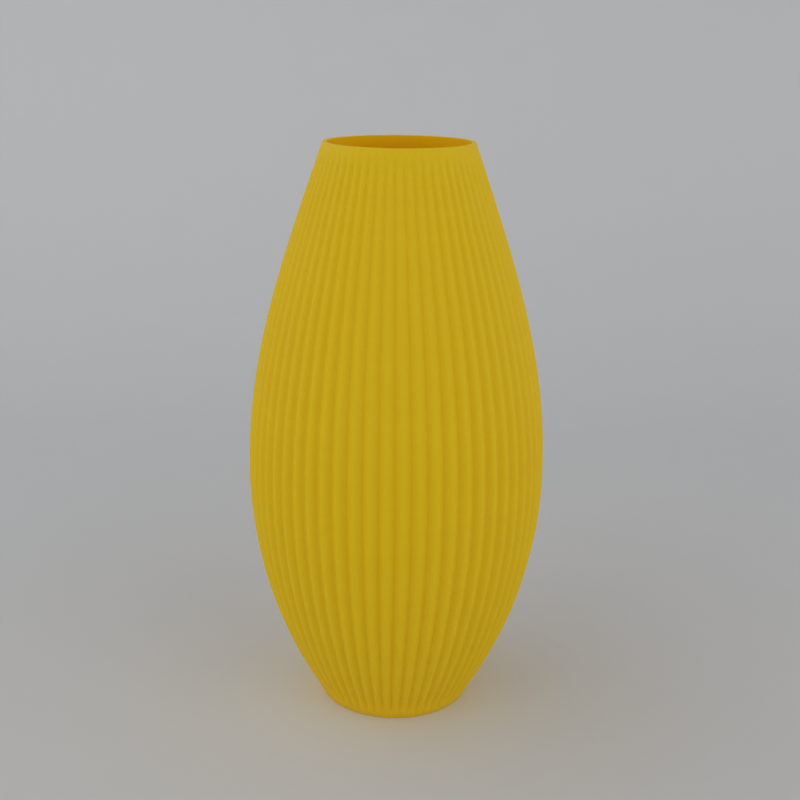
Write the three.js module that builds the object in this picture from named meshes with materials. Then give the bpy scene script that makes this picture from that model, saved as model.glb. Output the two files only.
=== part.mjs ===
// A tall ribbed vase, printed in one piece: a flat floor and one thin wall that is open at the mouth.
// Millimetres, +Z up. The origin is the centre of the base, on the surface that the vase stands on.

import * as THREE from "three";

// Outline of the rib crests: a circular arc from the foot to the belly, then a cosine from the belly
// to the mouth. The cosine runs a little past its quarter turn, so the neck is almost straight.
const HEIGHT = 250;
const ARC_FOOT_RADIUS = 32.7;
const BELLY_RADIUS = 65;
const BELLY_HEIGHT = 108.8;
const MOUTH_RADIUS = 31.9;
const UPPER_TURN = THREE.MathUtils.degToRad(96);

// The wall stands a little steeper at its foot, which makes the base wider than the arc alone would.
const FOOT_HEIGHT = 8;
const FOOT_FLARE = 0.7;

// The wall is measured level, as the printer lays its beads, and the floor upright.
const WALL_THICKNESS = 1.8;
const FLOOR_THICKNESS = 2;

// The ribs keep their number, so each one narrows with the outline. The depth of a groove is a share of
// the radius that falls evenly from the base to the mouth.
const RIB_COUNT = 60;
const BASE_GROOVE_SHARE = 0.04;
const MOUTH_GROOVE_SHARE = 0.029;
const FRONT_GROOVE_ANGLE = THREE.MathUtils.degToRad(-0.3);

// The grooves fade out over the foot and over this height below the rim, and the edges of the base and
// the rim are plain circles.
const RIM_FADE = 9;

// The ribs bow a little: they are upright at one height and swing back about the axis, the same way,
// towards the base and towards the mouth.
const UPRIGHT_HEIGHT = 95;
const BASE_SWING = THREE.MathUtils.degToRad(-1.8);
const MOUTH_SWING = THREE.MathUtils.degToRad(-2.3);

// Facets: a rib is a groove line and two crest lines, and the wall is stepped in height.
const POINTS_PER_RIB = 3;
const LOWER_STEPS = 5;
const UPPER_STEPS = 5;

const VASE_COLOUR = 0xd9a90f;
const VASE_ROUGHNESS = 0.55;

// Radius of the arc that leaves the belly upright and ends at the foot.
function lowerArcRadius() {
  const bulge = BELLY_RADIUS - ARC_FOOT_RADIUS;
  return (BELLY_HEIGHT ** 2 + bulge ** 2) / (2 * bulge);
}

// Radius of the rib crests at a height.
function crestRadius(height) {
  if (height < BELLY_HEIGHT) {
    const arc = lowerArcRadius();
    const drop = BELLY_HEIGHT - height;
    const flare = FOOT_FLARE * Math.max(0, 1 - height / FOOT_HEIGHT) ** 2;
    return BELLY_RADIUS - arc + Math.sqrt(arc ** 2 - drop ** 2) + flare;
  }
  const turn = UPPER_TURN * ((height - BELLY_HEIGHT) / (HEIGHT - BELLY_HEIGHT));
  const narrowing = (1 - Math.cos(turn)) / (1 - Math.cos(UPPER_TURN));
  return BELLY_RADIUS - (BELLY_RADIUS - MOUTH_RADIUS) * narrowing;
}

// Heights of the facet rings, from the underside or the top of the floor to the rim. Rings halfway up
// the foot and halfway down the fade below the rim follow the changes of shape there.
function ringHeights(bottom) {
  const heights = [bottom, FOOT_HEIGHT / 2];
  for (let step = 0; step < LOWER_STEPS; step += 1) {
    heights.push(THREE.MathUtils.lerp(FOOT_HEIGHT, BELLY_HEIGHT, step / LOWER_STEPS));
  }
  for (let step = 0; step <= UPPER_STEPS; step += 1) {
    heights.push(THREE.MathUtils.lerp(BELLY_HEIGHT, HEIGHT - RIM_FADE, step / UPPER_STEPS));
  }
  heights.push(HEIGHT - RIM_FADE / 2, HEIGHT);
  return heights;
}

// Half section of the wall and floor: out along the underside, up the outside, over the rim, down
// the inside and back to the axis along the top of the floor.
function sectionPoints() {
  const outside = ringHeights(0).map((height) => new THREE.Vector2(crestRadius(height), height));
  const inside = ringHeights(FLOOR_THICKNESS).map(
    (height) => new THREE.Vector2(crestRadius(height) - WALL_THICKNESS, height),
  );
  const undersideCentre = new THREE.Vector2(0, 0);
  const floorCentre = new THREE.Vector2(0, FLOOR_THICKNESS);
  return [undersideCentre, ...outside, ...inside.reverse(), floorCentre];
}

// Angle that the ribs are turned about the axis at a height.
function ribSwing(height) {
  const swing = height < UPRIGHT_HEIGHT ? BASE_SWING : MOUTH_SWING;
  const reach = height < UPRIGHT_HEIGHT ? UPRIGHT_HEIGHT : HEIGHT - UPRIGHT_HEIGHT;
  return swing * ((height - UPRIGHT_HEIGHT) / reach) ** 2;
}

// Depth of a groove at a height, as a share of the radius.
function grooveDepth(height) {
  const fullDepth = THREE.MathUtils.lerp(BASE_GROOVE_SHARE, MOUTH_GROOVE_SHARE, height / HEIGHT);
  const aboveBase = THREE.MathUtils.smoothstep(height, 0, FOOT_HEIGHT);
  const belowRim = THREE.MathUtils.smoothstep(HEIGHT - height, 0, RIM_FADE);
  return fullDepth * aboveBase * belowRim;
}

// Turns plain columns of points into bowed ribs. A point is on a groove line when its place around
// the vase is a whole number of ribs from the first groove, which is where the lathe starts.
function shapeRibs(geometry, ringSize) {
  const position = geometry.getAttribute("position");
  const axis = new THREE.Vector3(0, 1, 0);
  const point = new THREE.Vector3();
  for (let index = 0; index < position.count; index += 1) {
    point.fromBufferAttribute(position, index);
    const column = Math.floor(index / ringSize);
    const isGroove = column % POINTS_PER_RIB === 0;
    const scale = isGroove ? 1 - grooveDepth(point.y) : 1;
    point.multiply(new THREE.Vector3(scale, 1, scale));
    point.applyAxisAngle(axis, ribSwing(point.y));
    position.setXYZ(index, point.x, point.y, point.z);
  }
}

function vaseGeometry() {
  const section = sectionPoints();
  const geometry = new THREE.LatheGeometry(section, RIB_COUNT * POINTS_PER_RIB, FRONT_GROOVE_ANGLE);
  shapeRibs(geometry, section.length);
  geometry.rotateX(Math.PI / 2);
  geometry.computeVertexNormals();
  return geometry;
}

function makeVase() {
  const material = new THREE.MeshStandardMaterial({
    color: VASE_COLOUR,
    roughness: VASE_ROUGHNESS,
    metalness: 0,
  });
  const vase = new THREE.Mesh(vaseGeometry(), material);
  vase.name = "vase";
  return vase;
}

const object = new THREE.Group();
object.add(makeVase());

export default object;
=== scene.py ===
# A tall yellow ribbed vase, printed in one piece from plastic filament, on a pale seamless sweep.
# Everything is in metres, in the frame of the CAD model: +Z up, origin at the centre of the base.

import math

import bmesh
import bpy
from mathutils import Matrix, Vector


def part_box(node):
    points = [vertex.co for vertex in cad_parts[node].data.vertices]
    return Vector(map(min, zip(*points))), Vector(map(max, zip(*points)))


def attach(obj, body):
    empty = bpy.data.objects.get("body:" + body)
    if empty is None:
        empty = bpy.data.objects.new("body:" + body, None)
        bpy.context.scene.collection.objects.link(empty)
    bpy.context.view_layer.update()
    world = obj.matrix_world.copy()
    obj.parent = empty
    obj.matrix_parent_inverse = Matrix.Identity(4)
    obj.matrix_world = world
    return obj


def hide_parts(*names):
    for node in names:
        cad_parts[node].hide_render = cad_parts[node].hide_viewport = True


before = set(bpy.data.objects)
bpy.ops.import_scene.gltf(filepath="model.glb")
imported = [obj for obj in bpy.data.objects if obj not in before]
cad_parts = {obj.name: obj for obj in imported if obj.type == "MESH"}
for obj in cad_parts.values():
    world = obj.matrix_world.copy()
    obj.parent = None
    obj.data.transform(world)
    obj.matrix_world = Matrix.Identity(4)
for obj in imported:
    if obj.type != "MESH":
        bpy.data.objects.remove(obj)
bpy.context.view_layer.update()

MM = 0.001

# The height comes from the CAD vase, and the outline of the rib crests is in shares of it.
vase_low, vase_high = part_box("vase")
HEIGHT = vase_high[2] - vase_low[2]
ARC_FOOT_RADIUS = 0.1308 * HEIGHT
BELLY_RADIUS = 0.26 * HEIGHT
BELLY_HEIGHT = 0.4352 * HEIGHT
MOUTH_RADIUS = 0.1276 * HEIGHT
UPPER_TURN = math.radians(96)

# The wall stands a little steeper at its foot, which makes the base wider than the arc alone would.
FOOT_HEIGHT = 0.032 * HEIGHT
FOOT_FLARE = 0.0028 * HEIGHT
BASE_RADIUS = ARC_FOOT_RADIUS + FOOT_FLARE

# The wall is measured level, as the printer lays its beads, and the floor upright.
WALL = 1.8 * MM
FLOOR = 2.0 * MM

# The ribs keep their number, and the depth of a groove is a share of the radius that falls evenly from
# the base to the mouth.
RIB_COUNT = 60
BASE_GROOVE_SHARE = 0.04
MOUTH_GROOVE_SHARE = 0.029
FRONT_GROOVE_ANGLE = math.radians(-90.3)

# The shape of a groove: this share of a scallop, which is sharp at the bottom, and the rest a wave.
OUTSIDE_SCALLOP = 0.6
INSIDE_SCALLOP = 0.0

# The grooves fade out over the foot and over these heights below the rim, outside and inside. The
# edges of the base and the rim are plain circles.
OUTSIDE_FADE = 0.036 * HEIGHT
INSIDE_FADE = 0.16 * HEIGHT

# The ribs bow a little: they swing about the axis towards the base and towards the mouth.
UPRIGHT_HEIGHT = 0.38 * HEIGHT
BASE_SWING = math.radians(-1.8)
MOUTH_SWING = math.radians(-2.3)

# How finely the visible mesh follows the outline.
COLUMNS_PER_RIB = 10
COLUMNS = RIB_COUNT * COLUMNS_PER_RIB
OUTSIDE_ROWS = 64
INSIDE_ROWS = 44
LEVEL_RING_SHARES = (0.35, 0.7, 0.93)

# The wall is four beads wide, and the rim shows their rounded tops.
BEAD_COUNT = 4
BEAD_WIDTH = WALL / BEAD_COUNT
RIM_BEAD_RISE = 0.12 * MM
RIM_BEAD_POINTS = (0.2, 0.5, 0.8)
RIM_SHOULDER = HEIGHT - 2 * RIM_BEAD_RISE
BASE_CHAMFER = 0.3 * MM

# Each layer starts at the back, and the starts make one fine upright seam down a groove.
SEAM_COLUMN = COLUMNS // 2
SEAM_RISE = 0.15 * MM


def crest_radius(height):
    """Radius of the rib crests: a circular arc up to the belly, then a cosine to the mouth."""
    if height < BELLY_HEIGHT:
        bulge = BELLY_RADIUS - ARC_FOOT_RADIUS
        arc = (BELLY_HEIGHT ** 2 + bulge ** 2) / (2 * bulge)
        drop = BELLY_HEIGHT - height
        flare = FOOT_FLARE * max(0, 1 - height / FOOT_HEIGHT) ** 2
        return BELLY_RADIUS - arc + math.sqrt(arc ** 2 - drop ** 2) + flare
    turn = UPPER_TURN * (height - BELLY_HEIGHT) / (HEIGHT - BELLY_HEIGHT)
    narrowing = (1 - math.cos(turn)) / (1 - math.cos(UPPER_TURN))
    return BELLY_RADIUS - (BELLY_RADIUS - MOUTH_RADIUS) * narrowing


def rib_swing(height):
    """Angle that the ribs are turned about the axis at a height."""
    swing = BASE_SWING if height < UPRIGHT_HEIGHT else MOUTH_SWING
    reach = UPRIGHT_HEIGHT if height < UPRIGHT_HEIGHT else HEIGHT - UPRIGHT_HEIGHT
    return swing * ((height - UPRIGHT_HEIGHT) / reach) ** 2


def smooth_step(value):
    """Eases from 0 to 1 as the value goes from 0 to 1."""
    clamped = min(max(value, 0), 1)
    return clamped ** 2 * (3 - 2 * clamped)


def groove_depth(height, rim_fade):
    """Depth of a groove at a height, as a share of the radius."""
    full_depth = BASE_GROOVE_SHARE + (MOUTH_GROOVE_SHARE - BASE_GROOVE_SHARE) * height / HEIGHT
    return full_depth * smooth_step(height / FOOT_HEIGHT) * smooth_step((HEIGHT - height) / rim_fade)


def groove_shape(column, scallop_share):
    """How deep a column of the mesh lies: 0 on a crest and 1 in a groove."""
    turn = math.pi * column / COLUMNS_PER_RIB
    scallop = 1 - abs(math.sin(turn))
    wave = 0.5 + 0.5 * math.cos(2 * turn)
    return scallop_share * scallop + (1 - scallop_share) * wave


def steps(start, end, count):
    """Evenly spaced values from start to end, with both ends included."""
    return [start + (end - start) * step / count for step in range(count + 1)]


def underside_section():
    radii = [share * BASE_RADIUS for share in (0.0, *LEVEL_RING_SHARES)]
    radii.append(BASE_RADIUS - BASE_CHAMFER)
    return [(radius, 0.0, 0.0, OUTSIDE_SCALLOP) for radius in radii]


def outside_section():
    points = []
    for height in steps(BASE_CHAMFER, RIM_SHOULDER, OUTSIDE_ROWS):
        points.append((crest_radius(height), height, groove_depth(height, OUTSIDE_FADE), OUTSIDE_SCALLOP))
    return points


def rim_section():
    points = []
    for bead in range(BEAD_COUNT):
        for across in RIM_BEAD_POINTS:
            radius = MOUTH_RADIUS - BEAD_WIDTH * (bead + across)
            height = HEIGHT - RIM_BEAD_RISE * (1 - math.sin(math.pi * across))
            points.append((radius, height, 0.0, OUTSIDE_SCALLOP))
    return points


def inside_section():
    points = []
    for height in steps(RIM_SHOULDER, FLOOR, INSIDE_ROWS):
        radius = crest_radius(height) - WALL
        points.append((radius, height, groove_depth(height, INSIDE_FADE), INSIDE_SCALLOP))
    return points


def floor_section():
    radius = crest_radius(FLOOR) - WALL
    depth = groove_depth(FLOOR, INSIDE_FADE)
    shares = (*reversed(LEVEL_RING_SHARES), 0.0)
    return [(share * radius, FLOOR, depth, INSIDE_SCALLOP) for share in shares]


def section():
    """The half section as (crest radius, height, groove depth, scallop share), from the underside's
    centre round the outside, the rim and the inside to the centre of the floor."""
    return underside_section() + outside_section() + rim_section() + inside_section() + floor_section()


def make_ring(bm, radius, height, depth, scallop_share, has_seam):
    """One level ring of the mesh, or a single point on the axis."""
    if radius == 0.0:
        return [bm.verts.new((0.0, 0.0, height))]
    ring = []
    for column in range(COLUMNS):
        angle = FRONT_GROOVE_ANGLE + rib_swing(height) + math.tau * column / COLUMNS
        reach = radius * (1 - depth * groove_shape(column, scallop_share))
        if has_seam and column == SEAM_COLUMN:
            reach += SEAM_RISE
        ring.append(bm.verts.new((reach * math.cos(angle), reach * math.sin(angle), height)))
    return ring


def join_rings(bm, low, high, material_index):
    for column in range(COLUMNS):
        beside = (column + 1) % COLUMNS
        corners = []
        for corner in (low[column % len(low)], low[beside % len(low)],
                       high[beside % len(high)], high[column % len(high)]):
            if corner not in corners:
                corners.append(corner)
        face = bm.faces.new(corners)
        face.material_index = material_index


OUTSIDE_MATERIAL = 0
INSIDE_MATERIAL = 1
LEVEL_MATERIAL = 2


def vase_mesh():
    bm = bmesh.new()
    points = section()
    outside_start = len(underside_section())
    rim_start = outside_start + len(outside_section())
    inside_start = rim_start + len(rim_section())
    rings = []
    for index, (radius, height, depth, scallop_share) in enumerate(points):
        has_seam = outside_start < index < rim_start - 1
        rings.append(make_ring(bm, radius, height, depth, scallop_share, has_seam))
    for index in range(len(rings) - 1):
        is_level = points[index][1] == points[index + 1][1] and points[index][1] <= FLOOR
        wall_material = OUTSIDE_MATERIAL if index < inside_start else INSIDE_MATERIAL
        join_rings(bm, rings[index], rings[index + 1], LEVEL_MATERIAL if is_level else wall_material)
    mesh = bpy.data.meshes.new("printed_vase")
    bm.to_mesh(mesh)
    bm.free()
    mesh.shade_smooth()
    return mesh


# The plastic. Each pair of yellows is the two ends of its slow change from layer to layer. The inside
# yellows are painted warmer and lighter: a painted glow of the little daylight that comes through the
# wall.
OUTSIDE_YELLOWS = ((0.895, 0.59, 0.005, 1.0), (0.935, 0.645, 0.008, 1.0))
INSIDE_YELLOWS_PAINTED_GLOW = ((0.975, 0.65, 0.001, 1.0), (0.99, 0.68, 0.002, 1.0))
LAYER_HEIGHT = 0.25 * MM
LAYER_RELIEF = 0.012 * MM
BAND_RELIEF = 0.006 * MM
GRAIN_RELIEF = 0.006 * MM
FLOOR_RELIEF = 0.03 * MM

# Blotches of the noises: how wide they are on the level, how tall they are, and how many finer
# noises are added to each.
BATCH_NOISE = (120 * MM, 9 * MM, 3.0)
FINE_NOISE = (25 * MM, 0.9 * MM, 2.0)
BAND_NOISE = (60 * MM, 1.6 * MM, 3.0)
GRAIN_NOISE = (0.9 * MM, 0.35 * MM, 1.0)

SMOOTH_ROUGHNESS = 0.48
DULL_ROUGHNESS = 0.62
SPECULAR_LEVEL = 0.2


def connect(tree, source, target):
    """Feeds a node's input from another node's output, or sets it to a plain value."""
    if isinstance(source, bpy.types.NodeSocket):
        tree.links.new(source, target)
    else:
        target.default_value = source


def calculate(tree, operation, *values):
    node = tree.nodes.new("ShaderNodeMath")
    node.operation = operation
    for value, socket in zip(values, node.inputs):
        connect(tree, value, socket)
    return node.outputs["Value"]


def stretched_noise(tree, place, level_size, upright_size, detail):
    """Noise from 0 to 1 whose blotches are level_size wide and upright_size tall."""
    mapping = tree.nodes.new("ShaderNodeMapping")
    connect(tree, place, mapping.inputs["Vector"])
    mapping.inputs["Scale"].default_value = (1 / level_size, 1 / level_size, 1 / upright_size)
    noise = tree.nodes.new("ShaderNodeTexNoise")
    connect(tree, mapping.outputs["Vector"], noise.inputs["Vector"])
    noise.inputs["Scale"].default_value = 1.0
    noise.inputs["Detail"].default_value = detail
    return noise.outputs["Fac"]


def mixed_colour(tree, share, first, second):
    """A colour that goes from the first to the second as the share goes from 0 to 1. The node has
    sockets of the same name for its other types, so its colour sockets are called by number."""
    mix = tree.nodes.new("ShaderNodeMix")
    mix.data_type = "RGBA"
    connect(tree, share, mix.inputs[0])
    mix.inputs[6].default_value = first
    mix.inputs[7].default_value = second
    return mix.outputs[2]


def ridges(tree, distance, spacing):
    """Rounded ridges side by side: 0 in the joint between two of them and 1 on their tops."""
    turn = calculate(tree, "MULTIPLY", distance, math.pi / spacing)
    return calculate(tree, "ABSOLUTE", calculate(tree, "SINE", turn))


def add_relief(tree, height, depth, normal):
    bump = tree.nodes.new("ShaderNodeBump")
    bump.inputs["Distance"].default_value = depth
    connect(tree, height, bump.inputs["Height"])
    if normal is not None:
        connect(tree, normal, bump.inputs["Normal"])
    return bump.outputs["Normal"]


def new_plastic(name, yellows):
    """A plastic material whose colour and roughness drift from layer to layer. Its surface shader and
    its place coordinates come with it."""
    material = bpy.data.materials.new(name)
    material.use_nodes = True
    tree = material.node_tree
    shader = tree.nodes["Principled BSDF"]
    shader.inputs["Specular IOR Level"].default_value = SPECULAR_LEVEL
    place = tree.nodes.new("ShaderNodeTexCoord").outputs["Object"]

    batch = stretched_noise(tree, place, *BATCH_NOISE)
    fine = stretched_noise(tree, place, *FINE_NOISE)
    tone = calculate(tree, "MULTIPLY", calculate(tree, "ADD", batch, fine), 0.5)
    connect(tree, mixed_colour(tree, tone, *yellows), shader.inputs["Base Color"])

    roughness = tree.nodes.new("ShaderNodeMapRange")
    connect(tree, fine, roughness.inputs["Value"])
    roughness.inputs["To Min"].default_value = SMOOTH_ROUGHNESS
    roughness.inputs["To Max"].default_value = DULL_ROUGHNESS
    connect(tree, roughness.outputs["Result"], shader.inputs["Roughness"])
    return material, shader, place


def wall_plastic(name, yellows):
    """The wall: level layer lines, slow bands where the layers are uneven, and a fine grain."""
    material, shader, place = new_plastic(name, yellows)
    tree = material.node_tree
    split = tree.nodes.new("ShaderNodeSeparateXYZ")
    connect(tree, place, split.inputs["Vector"])
    layers = ridges(tree, split.outputs["Z"], LAYER_HEIGHT)
    bands = stretched_noise(tree, place, *BAND_NOISE)
    grain = stretched_noise(tree, place, *GRAIN_NOISE)
    normal = add_relief(tree, bands, BAND_RELIEF, None)
    normal = add_relief(tree, grain, GRAIN_RELIEF, normal)
    normal = add_relief(tree, layers, LAYER_RELIEF, normal)
    connect(tree, normal, shader.inputs["Normal"])
    return material


def floor_plastic():
    """The underside and the floor: a few beads round the edge, and slanting beads inside them."""
    material, shader, place = new_plastic("yellow_filament_floor", OUTSIDE_YELLOWS)
    tree = material.node_tree
    split = tree.nodes.new("ShaderNodeSeparateXYZ")
    connect(tree, place, split.inputs["Vector"])
    diagonal = calculate(tree, "ADD", split.outputs["X"], split.outputs["Y"])
    across = calculate(tree, "MULTIPLY", diagonal, math.sqrt(0.5))
    length = tree.nodes.new("ShaderNodeVectorMath")
    length.operation = "LENGTH"
    connect(tree, place, length.inputs[0])
    radius = length.outputs["Value"]
    edge_start = BASE_RADIUS - WALL
    on_edge = calculate(tree, "GREATER_THAN", radius, edge_start)
    off_edge = calculate(tree, "SUBTRACT", 1.0, on_edge)
    edge_beads = calculate(tree, "MULTIPLY", on_edge, ridges(tree, radius, BEAD_WIDTH))
    slanting_beads = calculate(tree, "MULTIPLY", off_edge, ridges(tree, across, BEAD_WIDTH))
    beads = calculate(tree, "ADD", edge_beads, slanting_beads)
    connect(tree, add_relief(tree, beads, FLOOR_RELIEF, None), shader.inputs["Normal"])
    return material


def make_vase():
    vase = bpy.data.objects.new("printed_vase", vase_mesh())
    bpy.context.scene.collection.objects.link(vase)
    vase.data.materials.append(wall_plastic("yellow_filament_outside", OUTSIDE_YELLOWS))
    # The inside is painted warmer and lighter than the outside: a painted glow of light through the wall.
    vase.data.materials.append(wall_plastic("yellow_filament_inside_painted_glow", INSIDE_YELLOWS_PAINTED_GLOW))
    vase.data.materials.append(floor_plastic())
    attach(vase, "root")
    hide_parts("vase")


# The sweep: a level floor that turns up behind the vase.
SWEEP_HALF_WIDTH = 1.6
SWEEP_FRONT = -1.0
SWEEP_BACK = 0.35
SWEEP_RADIUS = 0.5
SWEEP_TOP = 0.9
SWEEP_ARC_STEPS = 24

# The paper fades from a lighter left grey to the right grey over this width, centred on the vase: painted
# light, lighter on the left where more light falls. The paper is also a little blotchy.
PAINTED_LIT_LEFT_GREY = (0.72, 0.73, 0.745, 1.0)
PAINTED_SHADED_RIGHT_GREY = (0.69, 0.695, 0.71, 1.0)
PAINTED_LIGHT_FADE_WIDTH = 0.6
BLOTCH_SIZE = 40 * MM
BLOTCH_SHARE = 0.5
BLOTCH_DETAIL = 4.0
PAPER_ROUGHNESS = 0.9


def sweep_outline():
    points = [(SWEEP_FRONT, 0.0)]
    for turn in steps(0, math.pi / 2, SWEEP_ARC_STEPS):
        points.append((SWEEP_BACK + SWEEP_RADIUS * math.sin(turn), SWEEP_RADIUS * (1 - math.cos(turn))))
    points.append((SWEEP_BACK + SWEEP_RADIUS, SWEEP_TOP))
    return points


def paper_blotches_and_painted_light(tree):
    """How far the paper's colour is from the left grey to the right grey at each place: a painted-light
    fade, lighter on the left, with the paper's own blotches on top.
    """
    place = tree.nodes.new("ShaderNodeTexCoord").outputs["Object"]
    split = tree.nodes.new("ShaderNodeSeparateXYZ")
    connect(tree, place, split.inputs["Vector"])
    noise = stretched_noise(tree, place, BLOTCH_SIZE, BLOTCH_SIZE, BLOTCH_DETAIL)
    blotches = calculate(tree, "MULTIPLY_ADD", noise, BLOTCH_SHARE, 0.5 - BLOTCH_SHARE / 2)
    return calculate(tree, "MULTIPLY_ADD", split.outputs["X"], 1 / PAINTED_LIGHT_FADE_WIDTH, blotches)


def backdrop_material():
    """Pale paper that is clear from behind, so that the vase can be looked at from every side."""
    material = bpy.data.materials.new("pale_grey_paper")
    material.use_nodes = True
    tree = material.node_tree
    shader = tree.nodes["Principled BSDF"]
    shader.inputs["Roughness"].default_value = PAPER_ROUGHNESS
    # The left-to-right fade of the grey is painted light; the blotches are the paper's own.
    connect(tree, mixed_colour(tree, paper_blotches_and_painted_light(tree), PAINTED_LIT_LEFT_GREY, PAINTED_SHADED_RIGHT_GREY), shader.inputs["Base Color"])
    sides = tree.nodes.new("ShaderNodeMixShader")
    connect(tree, tree.nodes.new("ShaderNodeNewGeometry").outputs["Backfacing"], sides.inputs[0])
    connect(tree, shader.outputs["BSDF"], sides.inputs[1])
    connect(tree, tree.nodes.new("ShaderNodeBsdfTransparent").outputs["BSDF"], sides.inputs[2])
    connect(tree, sides.outputs["Shader"], tree.nodes["Material Output"].inputs["Surface"])
    return material


def make_sweep():
    mesh = bpy.data.meshes.new("sweep")
    bm = bmesh.new()
    left = [bm.verts.new((-SWEEP_HALF_WIDTH, y, z)) for y, z in sweep_outline()]
    right = [bm.verts.new((SWEEP_HALF_WIDTH, y, z)) for y, z in sweep_outline()]
    for index in range(len(left) - 1):
        bm.faces.new((left[index], right[index], right[index + 1], left[index + 1]))
    bm.to_mesh(mesh)
    bm.free()
    mesh.shade_smooth()
    sweep = bpy.data.objects.new("sweep", mesh)
    bpy.context.scene.collection.objects.link(sweep)
    mesh.materials.append(backdrop_material())


# The camera, placed by multiples of the vase's height.
CAMERA_DISTANCE = 2.098 * HEIGHT
CAMERA_HEIGHT = 1.1845 * HEIGHT
CAMERA_PITCH = math.radians(16.757)
CAMERA_YAW = math.radians(0.153)
CAMERA_ROLL = math.radians(0.606)
CAMERA_LENS_MM = 56.06
CAMERA_SENSOR_MM = 36.0


def make_camera():
    data = bpy.data.cameras.new("camera")
    data.lens = CAMERA_LENS_MM
    data.sensor_width = CAMERA_SENSOR_MM
    camera = bpy.data.objects.new("camera", data)
    turn = Matrix.Rotation(-CAMERA_YAW, 4, "Z") @ Matrix.Rotation(math.pi / 2 - CAMERA_PITCH, 4, "X")
    place = Matrix.Translation((0.0, -CAMERA_DISTANCE, CAMERA_HEIGHT))
    camera.matrix_world = place @ turn @ Matrix.Rotation(CAMERA_ROLL, 4, "Z")
    bpy.context.scene.collection.objects.link(camera)
    bpy.context.scene.camera = camera


# Wide soft lights all round, far away: degrees to the right of the camera's side, degrees up, and
# strength. Each one fades with the sixth power of the cosine of the angle from its centre.
SOFT_LIGHTS = (
    (-45, 25, 1.05),
    (45, 25, 1.12),
    (-45, 5, 0.14),
    (45, 5, 0.13),
    (-90, 0, 0.11),
    (90, 0, 0.89),
    (-90, 30, 0.58),
    (-140, 35, 0.92),
    (140, 35, 0.65),
)
LIGHT_FALLOFF_POWER = 6
LIGHT_COLOUR = (1.0, 1.0, 1.0, 1.0)

# Light goes round inside the vase many times before it leaves by the mouth.
LIGHT_BOUNCES = 32


def soft_light(tree, direction, azimuth, elevation, strength):
    """The strength that one soft light gives in every direction of the surrounding world."""
    level = math.cos(elevation)
    dot = tree.nodes.new("ShaderNodeVectorMath")
    dot.operation = "DOT_PRODUCT"
    connect(tree, direction, dot.inputs[0])
    aim = (math.sin(azimuth) * level, -math.cos(azimuth) * level, math.sin(elevation))
    dot.inputs[1].default_value = aim
    facing = calculate(tree, "MAXIMUM", dot.outputs["Value"], 0.0)
    fade = calculate(tree, "POWER", facing, LIGHT_FALLOFF_POWER)
    return calculate(tree, "MULTIPLY", fade, strength)


def make_lights():
    world = bpy.data.worlds.new("studio")
    world.use_nodes = True
    tree = world.node_tree
    background = tree.nodes["Background"]
    background.inputs["Color"].default_value = LIGHT_COLOUR
    direction = tree.nodes.new("ShaderNodeTexCoord").outputs["Generated"]
    total = 0.0
    for azimuth, elevation, strength in SOFT_LIGHTS:
        light = soft_light(tree, direction, math.radians(azimuth), math.radians(elevation), strength)
        total = calculate(tree, "ADD", light, total)
    connect(tree, total, background.inputs["Strength"])
    bpy.context.scene.world = world
    bpy.context.scene.cycles.max_bounces = LIGHT_BOUNCES
    bpy.context.scene.cycles.diffuse_bounces = LIGHT_BOUNCES


make_camera()
make_vase()
make_sweep()
make_lights()
bpy.context.scene.view_settings.view_transform = "Standard"
